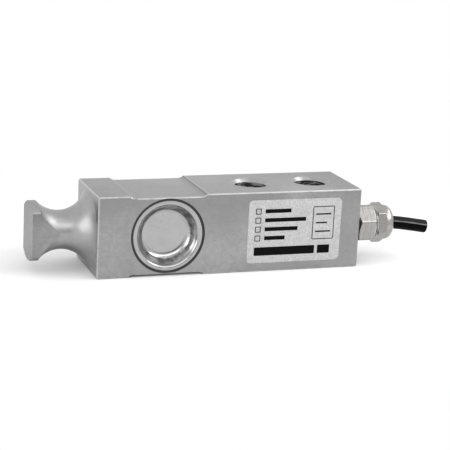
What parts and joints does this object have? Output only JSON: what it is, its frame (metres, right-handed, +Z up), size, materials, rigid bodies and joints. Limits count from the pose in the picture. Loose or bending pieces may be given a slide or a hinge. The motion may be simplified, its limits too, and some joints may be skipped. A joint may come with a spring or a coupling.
{
  "type": "cantilever beam load cell",
  "caption": "Square steel beam load cell with a necked spool loading end, dished seal cups over its gauge pockets, vertical mounting holes and a cable gland at its end.",
  "frame": {"origin": "midway between the two mounting holes, on the underside of the beam", "axes": "+X along the beam from the loading spool towards the cable gland, +Z up along the mounting holes, -Y out of the side with the label"},
  "size_m": [0.1637, 0.0319, 0.0318],
  "materials": {
    "beam_steel": "fine milled and turned, satin",
    "cup_steel": "drawn sheet, satin",
    "gland_nickel": "nickel plated, half bright",
    "black_rubber": "matte",
    "cable_sheath": "smooth, slightly glossy",
    "claw_plastic": "matte",
    "tinned_copper": "tinned",
    "red_insulation": "smooth",
    "black_insulation": "smooth",
    "green_insulation": "smooth",
    "white_insulation": "smooth",
    "gauge_film": "polyimide film",
    "terminal_board": "glass-fibre board with solder",
    "circuit_board": "solder resist",
    "resistor_body": "chip ceramic",
    "label_film": "metallised polyester film, satin"
  },
  "bodies": {
    "root": {"beam_body": "beam_steel", "front_seal_cup": "cup_steel", "rear_seal_cup": "cup_steel", "front_seal_bead": "black_rubber", "rear_seal_bead": "black_rubber", "front_gauge": "gauge_film", "rear_gauge": "gauge_film", "front_terminal": "terminal_board", "rear_terminal": "terminal_board", "balance_board": "circuit_board", "trim_resistors": "resistor_body", "bridge_jumpers": "tinned_copper", "red_lead": "red_insulation", "black_lead": "black_insulation", "green_lead": "green_insulation", "white_lead": "white_insulation", "cable_shield": "tinned_copper", "cable_jacket": "cable_sheath", "gland_gasket": "black_rubber", "gland_body": "gland_nickel", "gland_claw": "claw_plastic", "gland_seal": "black_rubber", "gland_nut": "gland_nickel", "identification_label": "label_film"}
  },
  "joints": []
}
